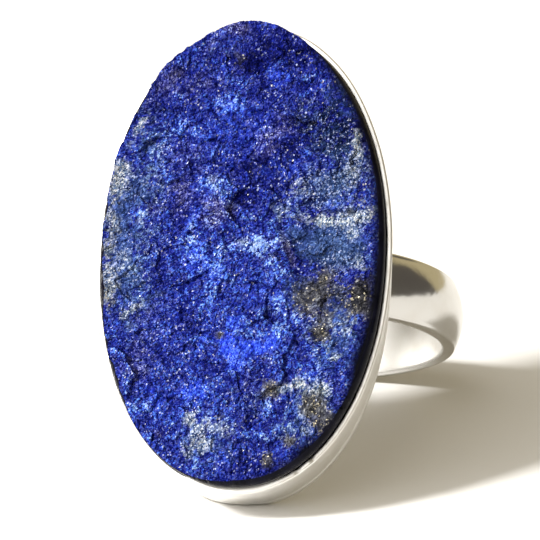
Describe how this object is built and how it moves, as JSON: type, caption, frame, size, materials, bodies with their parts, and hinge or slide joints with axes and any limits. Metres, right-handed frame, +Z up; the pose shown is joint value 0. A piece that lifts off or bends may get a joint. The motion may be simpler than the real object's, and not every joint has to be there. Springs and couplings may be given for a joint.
{
  "type": "rough lapis lazuli ring",
  "caption": "Oval slab of rough lapis lazuli with a natural fracture face, set in a plain silver cup on a low domed silver finger band; it rests leaning back.",
  "frame": {"origin": "middle of the box's floor, on the table that the ring leans on", "axes": "+Z up, -Y towards the viewer, the way the stone's face looks, +X to the viewer's right along the stone's width"},
  "size_m": [0.0198, 0.0266, 0.0232],
  "materials": {
    "lapis": "rough fracture face with fine crystal sparkle, dark polished side",
    "silver": "polished sterling silver with fine wear marks"
  },
  "bodies": {
    "root": {"lapis_stone": "lapis", "bezel_cup": "silver", "ring_band": "silver"}
  },
  "joints": []
}
